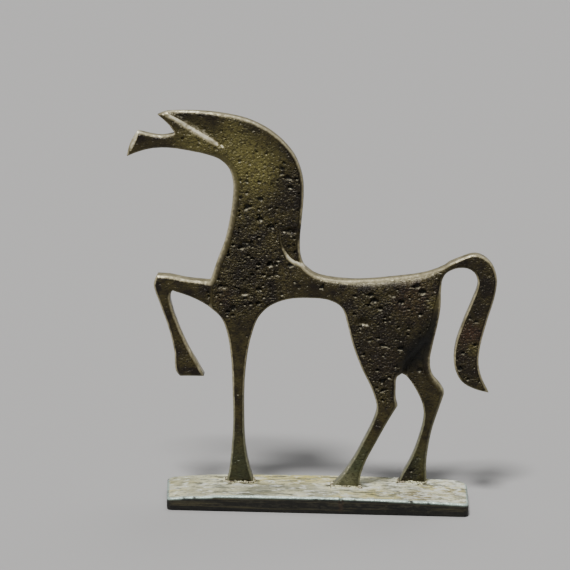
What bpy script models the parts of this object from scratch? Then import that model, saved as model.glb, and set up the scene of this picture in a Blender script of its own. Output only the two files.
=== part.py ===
"""A flat-cast bronze horse in the ancient geometric manner, standing on its slab plinth.

The horse is one solid: a thick plate with bevelled rims, whose outline is drawn in the XZ plane.
It looks along -X, its near side faces -Y and +Z is up. The origin is the middle of the plinth's underside.
Sizes are in millimetres and become metres when a mesh is made.
"""
import math

import bmesh
import bpy
import numpy as np
from mathutils import Vector
from mathutils.geometry import delaunay_2d_cdt

MM = 0.001

# Driving dimensions of the plinth
PLINTH_HALF_LENGTH = 75.0
PLINTH_HEIGHT = 8.5
LEFT_END_DROP = 2.0
RIGHT_END_DROP = 1.7
LEFT_CROWN_POWER = 5.0
RIGHT_CROWN_POWER = 2.2
# The slab's corners seen from above, from the front left one round to the back left one, and their radii
PLINTH_CORNERS = ((-74.0, -20.8), (75.0, -20.5), (75.4, 21.0), (-76.8, 16.2))
CORNER_RADII = (2.5, 2.5, 8.0, 3.5)
PLINTH_TOP_BEVEL = 0.8
PLINTH_FOOT_BEVEL = 0.6
PLINTH_SPACING = 4.5
CORNER_STEPS_PER_MM = 1.2
FEWEST_CORNER_STEPS = 3

# Driving dimensions of the horse
MID_PLANE = 6.0
SOLE_GAP = 0.3
OUTLINE_SPACING = 2.0
FACE_SPACING = 3.6
BEVEL_STEEPNESS = 0.75
LARGEST_BEVEL_SHARE = 0.55
SMALLEST_ROOM = 1.0
SPINE_POWER = 1.5
LINE_CLEARANCE = 0.9
SPOT_CLEARANCE = 0.7
BEVEL_CLEARANCE = 0.45
CREASE_REACH = 2.3
GRID_CLEARANCE_SHARE = 0.6
RING_ROOM_SHARE = 0.95
SPINE_SOFTNESS = 1.0
ROOM_EVENING_PASSES = 2
BEVEL_EVENING_PASSES = 3
MERGE_DISTANCE = 1e-4
SHARP_ANGLE_DEG = 28.0


def plinth_top(x):
    """Height of the crowned top, which sinks towards both ends of the slab."""
    share = np.abs(x) / PLINTH_HALF_LENGTH
    left = LEFT_END_DROP * share ** LEFT_CROWN_POWER
    right = RIGHT_END_DROP * share ** RIGHT_CROWN_POWER
    return PLINTH_HEIGHT - np.where(np.asarray(x) < 0, left, right)


def on_plinth(x):
    """A point of a sole, just clear of the slab."""
    return (x, float(plinth_top(x)) + SOLE_GAP)


# Outline of the horse, clockwise from the tip of the ear, as (x, z)
EAR_TIP = (-81.4, 193.6)
CREST = [EAR_TIP, (-77.6, 195.1), (-66.0, 195.8), (-51.0, 194.8), (-36.4, 191.7), (-23.9, 185.1),
         (-14.1, 174.8), (-10.1, 164.6), (-9.3, 156.0), (-10.2, 142.0), (-10.9, 132.0), (-10.2, 124.0)]
WITHERS = [(-7.6, 118.6), (-1.5, 115.2), (8.0, 113.6)]
CROUP = [(20.0, 113.6), (33.9, 115.0), (48.0, 117.0)]
TAIL_ROOT = [(57.0, 119.5)]
TAIL_TIP = (84.3, 57.2)
TAIL_OUTSIDE = [(66.0, 124.1), (76.0, 127.4), (83.0, 123.6), (86.5, 116.0), (85.9, 107.2), (82.2, 93.4),
                (79.3, 80.7), (78.8, 72.0), (80.6, 64.6), TAIL_TIP]
TAIL_INSIDE = [TAIL_TIP, (77.4, 58.9), (70.8, 62.7), (67.0, 70.0), (66.8, 80.5), (70.2, 92.5), (74.6, 104.2),
               (77.2, 112.8), (75.2, 118.4), (70.0, 120.6), (64.0, 119.4), (60.2, 115.6), (59.2, 110.0)]
RUMP = [(59.2, 101.0), (57.9, 91.0), (55.8, 80.3), (54.7, 72.0), (56.2, 65.0), (60.0, 60.5), (62.1, 57.0)]
FAR_HOCK = (62.2, 55.4)
FAR_LEG_BACK = [FAR_HOCK, (59.6, 46.7), (56.8, 36.7), (55.1, 26.8), (54.3, 17.0), (54.6, 11.0),
                on_plinth(54.2)]
FAR_LEG_FRONT = [on_plinth(40.6), (42.6, 12.6), (46.6, 20.8), (50.0, 30.8), (52.4, 42.5), (51.4, 50.6),
                 (47.4, 59.0), (42.8, 65.2)]
NEAR_HOCK = (39.1, 50.6)
NEAR_THIGH_BACK = [(40.9, 66.7), (38.5, 65.3), (38.0, 59.0), (38.3, 53.0), NEAR_HOCK]
NEAR_LEG_BACK = [NEAR_HOCK, (34.6, 42.8), (29.0, 32.0), (24.0, 22.0), (21.5, 14.6), on_plinth(20.9)]
NEAR_LEG_FRONT = [on_plinth(7.2), (11.9, 14.1), (17.4, 22.4), (22.5, 32.6), (27.2, 42.8), (28.8, 49.5),
                  (26.4, 58.2), (20.6, 70.0), (16.1, 81.7), (13.3, 92.0), (10.4, 99.8), (4.2, 103.3)]
BELLY = [(-7.0, 104.2), (-17.0, 103.2), (-25.2, 99.7), (-30.6, 94.0), (-34.0, 84.6)]
STANDING_LEG_BACK = [(-36.0, 75.0), (-37.4, 60.5), (-37.5, 45.0), (-36.8, 29.5), (-34.9, 18.0),
                     on_plinth(-32.2)]
STANDING_LEG_FRONT = [on_plinth(-46.0), (-44.6, 14.4), (-43.4, 27.0), (-42.8, 41.0), (-43.3, 56.0),
                      (-44.1, 72.0), (-46.3, 86.0)]
INNER_KNEE = (-73.6, 106.3)
RAISED_UNDERSIDE = [(-49.4, 93.6), (-55.6, 98.8), (-64.0, 103.1), INNER_KNEE]
SHIN_BACK = [INNER_KNEE, (-74.8, 103.0), (-73.6, 96.8), (-70.2, 87.5), (-65.8, 77.8), (-61.3, 69.8),
             (-57.5, 62.9)]
SHIN_FRONT = [(-69.6, 62.7), (-71.7, 65.6), (-72.5, 75.0), (-75.2, 86.5), (-79.4, 98.6), (-82.8, 109.6),
              (-81.3, 113.8)]
FOREARM_TOP = [(-81.3, 113.8), (-75.3, 113.6), (-66.5, 112.0), (-54.9, 111.1)]
NECK_FRONT = [(-54.9, 111.1), (-51.6, 121.4), (-47.9, 131.6), (-45.6, 141.8), (-44.2, 152.0), (-44.0, 160.6),
              (-45.9, 167.5), (-50.4, 172.0)]
MUZZLE_UNDERSIDE = [(-57.0, 174.6), (-65.0, 176.2), (-75.0, 177.4), (-84.0, 176.9), (-91.0, 175.1),
                    (-96.3, 172.9)]
MUZZLE_END = [(-96.3, 172.9), (-94.6, 179.6), (-91.3, 185.4)]
MUZZLE_TOP = [(-91.3, 185.4), (-85.3, 184.1), (-79.0, 183.4), (-72.6, 184.6)]
EAR_UNDERSIDE = [(-72.6, 184.6), (-75.6, 188.6), EAR_TIP]

# The outline's smooth stretches, from corner to corner, each run with the width of its bevel
STRETCHES = [
    [(1.5, CREST), (1.4, WITHERS), (4.2, CROUP), (1.6, TAIL_ROOT), (1.1, TAIL_OUTSIDE)],
    [(1.0, TAIL_INSIDE), (3.6, RUMP)],
    [(1.4, FAR_LEG_BACK)],
    [(0.9, FAR_LEG_FRONT), (1.3, NEAR_THIGH_BACK)],
    [(1.3, NEAR_LEG_BACK)],
    [(0.9, NEAR_LEG_FRONT), (0.9, BELLY), (1.1, STANDING_LEG_BACK)],
    [(1.1, STANDING_LEG_FRONT), (0.9, RAISED_UNDERSIDE)],
    [(1.3, SHIN_BACK)],
    [(1.0, SHIN_FRONT)],
    [(1.3, FOREARM_TOP)],
    [(3.0, NECK_FRONT), (1.0, MUZZLE_UNDERSIDE)],
    [(1.9, MUZZLE_END)],
    [(1.3, MUZZLE_TOP)],
    [(0.8, EAR_UNDERSIDE)],
]

# Lines through the plate's limbs, with half of its thickness and its sideways bend: x, z, half, sideways
SPINES = [
    # Muzzle, head, neck and chest
    [(-95.0, 179.0, 4.2, 0.0), (-84.0, 180.5, 3.0, 0.0), (-70.0, 181.0, 4.2, 0.0), (-57.0, 178.0, 4.8, 0.0),
     (-40.0, 165.0, 4.9, 0.0), (-35.0, 148.0, 5.1, 0.0), (-37.0, 128.0, 5.7, 0.0), (-36.0, 108.0, 6.2, 0.0)],
    # Ear and mane
    [(-79.0, 193.6, 2.6, 0.0), (-58.0, 191.0, 3.7, 0.0), (-32.0, 184.0, 3.9, 0.0), (-16.0, 166.0, 3.7, 0.0),
     (-15.0, 142.0, 4.4, 0.0), (-12.0, 122.0, 5.2, 0.0)],
    # Raised foreleg
    [(-46.0, 106.0, 6.2, 0.0), (-60.0, 106.0, 5.4, 0.0), (-78.0, 109.5, 5.0, 0.0), (-76.0, 94.0, 4.0, 0.0),
     (-69.0, 76.0, 3.5, 0.0), (-64.0, 64.0, 4.2, 0.0)],
    # Standing foreleg
    [(-40.0, 100.0, 6.2, 0.0), (-40.0, 82.0, 4.8, 0.0), (-40.4, 62.0, 3.8, 0.0), (-40.0, 36.0, 3.5, -0.3),
     (-39.0, 9.0, 3.8, -0.6)],
    # Trunk and tail
    [(-32.0, 108.0, 6.2, 0.0), (-8.0, 109.0, 5.8, 0.0), (18.0, 107.0, 6.0, 0.0), (45.0, 108.0, 6.4, 0.0),
     (60.0, 118.0, 4.8, 0.0), (72.0, 124.0, 3.6, 0.0), (82.0, 118.0, 3.4, 0.0), (81.0, 104.0, 3.4, 0.0),
     (74.0, 86.0, 3.4, 0.0), (73.0, 70.0, 3.2, 0.0), (83.0, 58.0, 2.2, 0.0)],
    # Near hind leg
    [(26.0, 98.0, 6.4, 0.0), (28.0, 80.0, 5.8, -0.8), (33.0, 62.0, 4.6, -2.4), (33.5, 50.0, 4.0, -3.3),
     (25.0, 32.0, 3.5, -4.1), (14.0, 9.0, 3.7, -4.6)],
    # Far hind leg
    [(52.0, 98.0, 6.4, 0.0), (50.0, 80.0, 5.6, 0.8), (52.0, 63.0, 4.6, 2.4), (57.5, 53.0, 4.0, 3.8),
     (53.0, 35.0, 3.5, 5.8), (47.5, 8.0, 3.6, 7.9)],
]

# Ledges in the flat faces: along a line of x, z and drop, the face on one side is sunk behind the other
# Turn is 1 where the sunk side is on the left, going along the line, and -1 where it is on the right
EAR_LEDGE = {"line": [(-49.6, 176.2, 0.0), (-51.6, 178.0, 1.7), (-60.6, 184.7, 1.9), (-68.0, 189.2, 1.6),
                      (-75.0, 192.8, 1.0), (-79.5, 194.6, 0.2)],
             "turn": -1, "slope": 2.4, "reach": 14.0, "near": True, "far": True}
MANE_LEDGE = {"line": [(-21.6, 139.0, 0.1), (-20.4, 130.4, 0.8), (-17.4, 124.4, 1.7), (-13.4, 120.8, 2.0),
                       (-9.6, 118.9, 2.0), (-4.0, 119.5, 2.0)],
              "turn": 1, "slope": 1.4, "reach": 30.0, "near": True, "far": True}
CHEST_LEDGE = {"line": [(-56.5, 116.0, 1.2), (-54.6, 110.8, 1.2), (-53.4, 104.0, 1.2), (-53.6, 98.5, 1.1),
                        (-53.8, 92.0, 1.0)],
               "turn": -1, "slope": 1.4, "reach": 34.0, "near": True, "far": True}
NEAR_THIGH_LEDGE = {"line": [(60.5, 99.0, 0.2), (54.8, 91.5, 1.0), (48.9, 82.8, 2.0), (42.8, 74.2, 2.8),
                             (40.4, 66.4, 3.0), (44.5, 52.0, 0.4), (36.0, 20.0, 0.0)],
                    "turn": 1, "slope": 3.0, "reach": 22.0, "near": True, "far": False}
FAR_THIGH_LEDGE = {"line": [(8.0, 94.0, 0.2), (21.0, 85.0, 1.2), (32.0, 75.2, 2.4), (40.4, 66.4, 3.0),
                            (44.5, 52.0, 0.4), (36.0, 20.0, 0.0)],
                   "turn": -1, "slope": 3.0, "reach": 22.0, "near": False, "far": True}
LEDGES = [EAR_LEDGE, MANE_LEDGE, CHEST_LEDGE, NEAR_THIGH_LEDGE, FAR_THIGH_LEDGE]

# The largest gouges in the near face: x, z, half length, half height, depth
GOUGES = [
    (-15.6, 137.5, 5.4, 1.6, 1.2),
    (21.5, 92.9, 4.2, 2.2, 1.3),
    (35.2, 107.4, 3.6, 1.9, 1.0),
    (-37.3, 106.4, 3.2, 1.8, 1.0),
    (-48.4, 109.2, 3.0, 1.5, 0.9),
]
GOUGE_WAVE = 0.16
GOUGE_LOBES = 3
GOUGE_WALL = 1.3
# Rings of points in a gouge: share of its radius, and how many points
GOUGE_RINGS = ((0.0, 1), (0.5, 7), (1.05, 14))


def smooth_stretch(runs, spacing):
    """Points along a smooth curve through the anchors of the runs, each with its bevel width."""
    anchors = [np.array(point, float) for _, run in runs for point in run]
    bevels = [bevel for bevel, run in runs for _ in run]
    if len(anchors) == 2:
        return [(anchors[0], bevels[0])]
    before = 2 * anchors[0] - anchors[1]
    after = 2 * anchors[-1] - anchors[-2]
    chain = [before] + anchors + [after]
    samples = []
    for i in range(len(anchors) - 1):
        a, b, c, d = chain[i:i + 4]
        count = max(1, round(float(np.linalg.norm(c - b)) / spacing))
        for step in range(count):
            share = step / count
            bevel = bevels[i] + (bevels[i + 1] - bevels[i]) * share
            samples.append((curve_point(a, b, c, d, share), bevel))
    return samples


def curve_point(a, b, c, d, share):
    """The point at a share of the way from b to c on a centripetal Catmull-Rom curve."""
    t1 = math.sqrt(np.linalg.norm(b - a))
    t2 = t1 + math.sqrt(np.linalg.norm(c - b))
    t3 = t2 + math.sqrt(np.linalg.norm(d - c))
    t = t1 + (t2 - t1) * share
    ab = a * (t1 - t) / t1 + b * t / t1
    bc = b * (t2 - t) / (t2 - t1) + c * (t - t1) / (t2 - t1)
    cd = c * (t3 - t) / (t3 - t2) + d * (t - t2) / (t3 - t2)
    abc = ab * (t2 - t) / t2 + bc * t / t2
    bcd = bc * (t3 - t) / (t3 - t1) + cd * (t - t1) / (t3 - t1)
    return abc * (t2 - t) / (t2 - t1) + bcd * (t - t1) / (t2 - t1)


def horse_outline():
    """The whole closed outline, and the width of the bevel at each of its points."""
    points = []
    bevels = []
    for i, runs in enumerate(STRETCHES):
        for point, bevel in smooth_stretch(runs, OUTLINE_SPACING):
            points.append(point)
            bevels.append(bevel)
        end = np.array(runs[-1][1][-1], float)
        start_of_next = np.array(STRETCHES[(i + 1) % len(STRETCHES)][0][1][0], float)
        sole = float(np.linalg.norm(start_of_next - end))
        for step in range(round(sole / OUTLINE_SPACING)):
            points.append(end + (start_of_next - end) * step * OUTLINE_SPACING / sole)
            bevels.append(runs[-1][0])
    return np.array(points), np.array(bevels)


def inward_normals(outline):
    """Unit vectors into a clockwise outline, one at each point."""
    along = np.roll(outline, -1, axis=0) - np.roll(outline, 1, axis=0)
    normals = np.stack([along[:, 1], -along[:, 0]], axis=1)
    return normals / np.linalg.norm(normals, axis=1, keepdims=True)


def inner_radii(outline, normals):
    """The radius of the largest circle inside the outline that touches it at each point."""
    gaps = outline[None, :, :] - outline[:, None, :]
    towards = np.einsum("ijk,ik->ij", gaps, normals)
    squares = np.einsum("ijk,ijk->ij", gaps, gaps)
    ahead = 1e-6
    radii = np.where(towards > ahead, squares / np.maximum(2 * towards, ahead), np.inf)
    return radii.min(axis=1)


def nearest_on_outline(points, outline):
    """Each point's distance to the closed outline, and the nearest place on it as a fractional index."""
    sides = np.roll(outline, -1, axis=0) - outline
    squares = np.einsum("ij,ij->i", sides, sides)
    offsets = points[:, None, :] - outline[None, :, :]
    shares = np.clip(np.einsum("ijk,jk->ij", offsets, sides) / squares, 0, 1)
    nearest = offsets - shares[:, :, None] * sides[None, :, :]
    distances = np.sqrt(np.einsum("ijk,ijk->ij", nearest, nearest))
    best = distances.argmin(axis=1)
    rows = np.arange(len(points))
    return distances[rows, best], best + shares[rows, best]


def bevel_at(places, bevels):
    """The bevel's width at fractional indices along the outline."""
    return np.interp(places, np.arange(len(bevels) + 1), np.append(bevels, bevels[0]))


def evened(values, passes):
    """A closed row of values, each averaged with its neighbours."""
    for _ in range(passes):
        values = (np.roll(values, 1) + values + np.roll(values, -1)) / 3
    return values


def inside_outline(points, outline):
    """Whether each point is inside the closed outline, by counting crossings."""
    x = points[:, 0:1]
    y = points[:, 1:2]
    ax = outline[:, 0][None, :]
    ay = outline[:, 1][None, :]
    bx = np.roll(outline[:, 0], -1)[None, :]
    by = np.roll(outline[:, 1], -1)[None, :]
    spans = (ay > y) != (by > y)
    rise = np.where(by == ay, 1.0, by - ay)
    crossing = ax + (y - ay) / rise * (bx - ax)
    return (np.sum(spans & (x < crossing), axis=1) % 2) == 1


def side_of_line(points, line):
    """Signed distance to an open line, above zero on its left, and the share along it."""
    lengths = np.linalg.norm(np.diff(line, axis=0), axis=1)
    starts = np.concatenate([[0.0], np.cumsum(lengths)])
    best = np.full(len(points), np.inf)
    signed = np.zeros(len(points))
    along = np.zeros(len(points))
    for i, length in enumerate(lengths):
        direction = (line[i + 1] - line[i]) / length
        offsets = points - line[i]
        reached = np.clip(offsets @ direction, 0, length)
        gaps = offsets - reached[:, None] * direction
        distance = np.linalg.norm(gaps, axis=1)
        left = direction[0] * offsets[:, 1] - direction[1] * offsets[:, 0]
        closer = distance < best
        best = np.where(closer, distance, best)
        signed = np.where(closer, np.where(left > 0, distance, -distance), signed)
        along = np.where(closer, (starts[i] + reached) / starts[-1], along)
    return signed, along


def shares_along(line):
    """Each of a line's own points as a share of its length."""
    lengths = np.linalg.norm(np.diff(line, axis=0), axis=1)
    return np.concatenate([[0.0], np.cumsum(lengths)]) / lengths.sum()


def soft_step(value):
    """Zero below zero, one above one, and a smooth rise between them."""
    value = np.clip(value, 0, 1)
    return value * value * (3 - 2 * value)


def ledge_drop(points, ledge):
    """How far one ledge sinks the face at each point."""
    line = np.array(ledge["line"])
    signed, along = side_of_line(points, line[:, :2])
    side = signed * ledge["turn"]
    drop = np.interp(along, shares_along(line[:, :2]), line[:, 2])
    fade = 1 - soft_step(side / ledge["reach"])
    return drop * np.clip(side / ledge["slope"], 0, 1) * fade


def gouge_drop(points):
    """How far the gouges sink the near face at each point."""
    drop = np.zeros(len(points))
    for x, z, half_length, half_height, depth in GOUGES:
        across = (points[:, 0] - x) / half_length
        up = (points[:, 1] - z) / half_height
        rim = 1 + GOUGE_WAVE * np.cos(GOUGE_LOBES * np.arctan2(up, across) + x)
        bowl = 1 - (across * across + up * up) / rim ** 2
        drop = np.maximum(drop, depth * np.clip(GOUGE_WALL * bowl, 0, 1))
    return drop


def plate_at(points):
    """Half thickness and sideways bend of the plate at each point, blended from the nearest spines."""
    total = np.zeros((len(points), 2))
    weights = np.zeros(len(points))
    for spine in SPINES:
        line = np.array(spine)
        distance, along = side_of_line(points, line[:, :2])
        weight = (distance * distance + SPINE_SOFTNESS) ** -SPINE_POWER
        shares = shares_along(line[:, :2])
        total[:, 0] += weight * np.interp(along, shares, line[:, 2])
        total[:, 1] += weight * np.interp(along, shares, line[:, 3])
        weights += weight
    return total[:, 0] / weights, total[:, 1] / weights


def horse_faces(points, outline, bevels):
    """The Y of the near face and of the far face at each point."""
    half, sideways = plate_at(points)
    distance, place = nearest_on_outline(points, outline)
    rim_drop = BEVEL_STEEPNESS * np.clip(bevel_at(place, bevels) - distance, 0, None)
    near = MID_PLANE + sideways - half + rim_drop
    far = MID_PLANE + sideways + half - rim_drop
    for ledge in LEDGES:
        drop = ledge_drop(points, ledge)
        near = near + drop * ledge["near"]
        far = far - drop * ledge["far"]
    return near + gouge_drop(points), far


def bevel_ring(outline, bevels):
    """The inner line of the bevels, left out where a corner or a narrow place has no room for it."""
    ring = outline + inward_normals(outline) * bevels[:, None]
    distance, _ = nearest_on_outline(ring, outline)
    return ring[distance > RING_ROOM_SHARE * bevels]


def ledge_rows():
    """Points along the top and the foot of each ledge's slope, one list for each row."""
    rows = []
    for ledge in LEDGES:
        anchors = [point[:2] for point in ledge["line"]]
        samples = [point for point, _ in smooth_stretch([(0.0, anchors)], OUTLINE_SPACING)]
        samples = np.array(samples + [np.array(anchors[-1])])
        along = np.gradient(samples, axis=0)
        left = np.stack([-along[:, 1], along[:, 0]], axis=1)
        left /= np.linalg.norm(left, axis=1, keepdims=True)
        rows.append(samples)
        rows.append(samples + left * ledge["slope"] * ledge["turn"])
    return rows


def gouge_rings():
    """Points on the floor and the rim of each gouge, one list for each gouge."""
    rings = []
    for x, z, half_length, half_height, _ in GOUGES:
        points = []
        for radius, count in GOUGE_RINGS:
            for i in range(count):
                angle = 2 * math.pi * i / count
                reach = radius * (1 + GOUGE_WAVE * math.cos(GOUGE_LOBES * angle + x))
                points.append((x + half_length * reach * math.cos(angle),
                               z + half_height * reach * math.sin(angle)))
        rings.append(np.array(points))
    return rings


def grid_points(outline, spacing):
    """A triangular grid over the outline's bounds."""
    low = outline.min(axis=0)
    high = outline.max(axis=0)
    points = []
    row_height = spacing * math.sqrt(3) / 2
    for row in range(int((high[1] - low[1]) / row_height) + 1):
        start = low[0] + (row % 2) * spacing / 2
        for column in range(int((high[0] - start) / spacing) + 1):
            points.append((start + column * spacing, low[1] + row * row_height))
    return np.array(points)


def keep_clear(points, kept, gap):
    """The points that are at least a gap from all kept ones."""
    squares = np.sum((points[:, None, :] - kept[None, :, :]) ** 2, axis=2)
    return points[squares.min(axis=1) > gap * gap]


def linked(points, first_index, longest):
    """Pairs of neighbours in a list that are near enough for a straight crease between them."""
    gaps = np.linalg.norm(np.roll(points, -1, axis=0) - points, axis=1)
    following = (np.arange(len(points)) + 1) % len(points)
    return [(first_index + i, first_index + int(following[i])) for i in np.flatnonzero(gaps < longest)]


def inner_layout(outline, bevels, lines, spots, spacing):
    """Points inside the outline, and the pairs of them that a crease of the surface joins."""
    kept = bevel_ring(outline, bevels)
    longest = CREASE_REACH * OUTLINE_SPACING
    creases = linked(kept, 0, longest)
    for line in lines:
        line = keep_clear(well_inside(line, outline, bevels), kept, LINE_CLEARANCE)
        if len(line) > 2:
            creases += linked(line, len(kept), longest)
        kept = np.concatenate([kept, line])
    for spot in spots:
        kept = np.concatenate([kept, keep_clear(well_inside(spot, outline, bevels), kept, SPOT_CLEARANCE)])
    grid = keep_clear(well_inside(grid_points(outline, spacing), outline, bevels), kept,
                      GRID_CLEARANCE_SHARE * spacing)
    return np.concatenate([kept, grid]), creases


def well_inside(points, outline, bevels):
    """The points that lie inside the outline's bevels."""
    points = points[inside_outline(points, outline)]
    distance, place = nearest_on_outline(points, outline)
    return points[distance > bevel_at(place, bevels) + BEVEL_CLEARANCE]


def plate_solid(name, outline, layout, surfaces, place):
    """A closed mesh object: the same triangles on both faces of a plate, joined along its outline."""
    inside, creases = layout
    count = len(outline)
    edges = [(i, (i + 1) % count) for i in range(count)]
    edges += [(count + a, count + b) for a, b in creases]
    corners = [Vector(point) for point in np.concatenate([outline, inside]).tolist()]
    keep_inside = 1
    points, _, triangles, origins, _, _ = delaunay_2d_cdt(corners, edges, [], keep_inside, MERGE_DISTANCE)
    flat = np.array([tuple(point) for point in points])
    where = {original: new for new, sources in enumerate(origins) for original in sources}
    rim = [where[i] for i in range(count)]
    low, high = surfaces(flat)
    bm = bmesh.new()
    low_verts = [bm.verts.new(place(u, v, w)) for (u, v), w in zip(flat, low)]
    high_verts = [bm.verts.new(place(u, v, w)) for (u, v), w in zip(flat, high)]
    for a, b, c in triangles:
        bm.faces.new((low_verts[a], low_verts[b], low_verts[c]))
        bm.faces.new((high_verts[c], high_verts[b], high_verts[a]))
    for a, b in zip(rim, rim[1:] + rim[:1]):
        bm.faces.new((low_verts[a], low_verts[b], high_verts[b], high_verts[a]))
    bmesh.ops.recalc_face_normals(bm, faces=bm.faces)
    bmesh.ops.triangulate(bm, faces=bm.faces)
    mesh = bpy.data.meshes.new(name)
    bm.to_mesh(mesh)
    bm.free()
    mesh.shade_smooth()
    mesh.set_sharp_from_angle(angle=math.radians(SHARP_ANGLE_DEG))
    obj = bpy.data.objects.new(name, mesh)
    bpy.context.scene.collection.objects.link(obj)
    return obj


def upright(u, v, w):
    """A plate whose outline stands in the XZ plane."""
    return Vector((u * MM, w * MM, v * MM))


def lying(u, v, w):
    """A plate whose outline lies in the XY plane."""
    return Vector((u * MM, v * MM, w * MM))


def bronze(name, colour, roughness):
    """A metal material with one colour."""
    material = bpy.data.materials.new(name)
    material.use_nodes = True
    shader = material.node_tree.nodes["Principled BSDF"]
    shader.inputs["Base Color"].default_value = (*colour, 1.0)
    shader.inputs["Roughness"].default_value = roughness
    shader.inputs["Metallic"].default_value = 1.0
    return material


def make_horse():
    """The whole animal, as one cast plate with bevelled rims."""
    outline, bevels = horse_outline()
    room = evened(inner_radii(outline, inward_normals(outline)), ROOM_EVENING_PASSES)
    bevels = np.minimum(bevels, LARGEST_BEVEL_SHARE * np.maximum(room, SMALLEST_ROOM))
    bevels = evened(bevels, BEVEL_EVENING_PASSES)
    layout = inner_layout(outline, bevels, ledge_rows(), gouge_rings(), FACE_SPACING)
    horse = plate_solid("horse", outline, layout, lambda flat: horse_faces(flat, outline, bevels), upright)
    horse.data.materials.append(bronze("dark olive bronze", (0.10, 0.085, 0.045), 0.45))
    return horse


def plinth_outline():
    """The slab's plan, clockwise, with a rounded corner of its own radius at each corner."""
    corners = [np.array(corner) for corner in PLINTH_CORNERS]
    points = []
    for i, (corner, radius) in enumerate(zip(corners, CORNER_RADII)):
        back = corners[i - 1] - corner
        ahead = corners[(i + 1) % 4] - corner
        back /= np.linalg.norm(back)
        ahead /= np.linalg.norm(ahead)
        half_angle = math.acos(float(back @ ahead)) / 2
        centre = corner + (back + ahead) / np.linalg.norm(back + ahead) * radius / math.sin(half_angle)
        first = corner + back * radius / math.tan(half_angle) - centre
        turn = math.pi - 2 * half_angle
        steps = max(FEWEST_CORNER_STEPS, round(radius * CORNER_STEPS_PER_MM))
        for step in range(steps + 1):
            cosine = math.cos(turn * step / steps)
            sine = math.sin(turn * step / steps)
            points.append(centre + [first[0] * cosine - first[1] * sine, first[0] * sine + first[1] * cosine])
    filled = []
    for point, following in zip(points, points[1:] + points[:1]):
        count = max(1, round(float(np.linalg.norm(following - point)) / PLINTH_SPACING))
        filled += [point + (following - point) * step / count for step in range(count)]
    return np.array(filled)[::-1]


def make_plinth():
    """The slab, with a flat underside and a crowned top."""
    outline = plinth_outline()
    bevels = np.full(len(outline), PLINTH_TOP_BEVEL)
    layout = inner_layout(outline, bevels, [], [], PLINTH_SPACING)

    def surfaces(flat):
        distance, _ = nearest_on_outline(flat, outline)
        edge = np.clip(1 - distance / PLINTH_TOP_BEVEL, 0, 1)
        return PLINTH_FOOT_BEVEL * edge, plinth_top(flat[:, 0]) - PLINTH_TOP_BEVEL * edge

    plinth = plate_solid("plinth", outline, layout, surfaces, lying)
    plinth.data.materials.append(bronze("pale grey green bronze", (0.26, 0.25, 0.19), 0.6))
    return plinth


def main():
    for obj in list(bpy.data.objects):
        bpy.data.objects.remove(obj, do_unlink=True)
    make_plinth()
    make_horse()


main()
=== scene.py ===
"""Looks of a flat-cast bronze horse on its slab plinth: casting skin, worn rims, patina, weld seams, and painted
highlights and shade.

Sizes and places are in millimetres in the model's own frame, and MM turns them into metres.
The horse looks along -X, its near side faces -Y, and +Z is up.
"""
import math

import bmesh
import bpy
import numpy as np
from mathutils import Matrix, Vector
from mathutils.kdtree import KDTree


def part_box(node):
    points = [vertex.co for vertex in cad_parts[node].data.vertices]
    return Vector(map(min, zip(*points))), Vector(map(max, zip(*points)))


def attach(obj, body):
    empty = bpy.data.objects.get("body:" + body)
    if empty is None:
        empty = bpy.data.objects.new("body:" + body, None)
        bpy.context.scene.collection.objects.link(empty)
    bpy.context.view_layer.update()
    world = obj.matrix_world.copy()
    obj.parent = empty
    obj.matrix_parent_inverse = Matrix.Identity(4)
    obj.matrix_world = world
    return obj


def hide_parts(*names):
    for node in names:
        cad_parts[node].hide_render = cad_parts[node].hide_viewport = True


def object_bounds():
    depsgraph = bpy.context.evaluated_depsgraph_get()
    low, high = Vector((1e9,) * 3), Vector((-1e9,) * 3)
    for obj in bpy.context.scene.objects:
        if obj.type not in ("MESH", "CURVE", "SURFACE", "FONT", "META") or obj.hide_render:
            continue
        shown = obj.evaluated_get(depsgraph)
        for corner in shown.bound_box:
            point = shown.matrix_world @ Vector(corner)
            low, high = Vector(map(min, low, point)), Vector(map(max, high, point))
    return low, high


MM = 0.001

# Camera: where it looks, how far off, how far round and up, and how far the picture is turned
CAMERA_TARGET = (-17.51, -5.82, 112.0)
CAMERA_DISTANCE = 1200.0
CAMERA_YAW_DEG = 2.0
CAMERA_PITCH_DEG = 12.0
CAMERA_ROLL_DEG = 0.8
CAMERA_LENS = 154.6
SENSOR_WIDTH = 36.0

# Floor and light: each light's direction from the horse, how widely it spreads in degrees, and its strength
FLOOR_SIDE = 24.0
FLOOR_COLOUR = (0.50, 0.49, 0.48)
ROOM_COLOUR = (0.90, 0.95, 1.00)
ROOM_STRENGTH = 0.10
LIGHTS = (
    ("key_above", (-0.14, -0.50, 1.0), 12.0, 3.2),
    ("rim_behind", (0.15, 0.45, 0.90), 35.0, 0.7),
    ("fill_front_left", (-0.9, -1.0, 0.4), 60.0, 0.12),
)

# Skins: the size of the cells that the solids are remeshed with, and the triangles left at the end
HORSE_CELL = 0.32
PLINTH_CELL = 0.42
HORSE_TRIANGLES = 190000
PLINTH_TRIANGLES = 120000
JOIN_DISTANCE = 0.01
# Where the skin is thinned first: spots that face this far away from the near side, and how strongly
LOOSER_FACES = -0.2
NEAR_SIDE_FAVOUR = 0.004

# The rims: how square to the side a spot faces where the flat face ends and where the rim is full,
# and how far from the outline the worn metal and its painted highlight reach
FACE_STARTS = 0.965
RIM_STARTS = 0.88
RIM_SOFTENING = 3
RIM_REACH = (1.6, 5.6)
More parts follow.
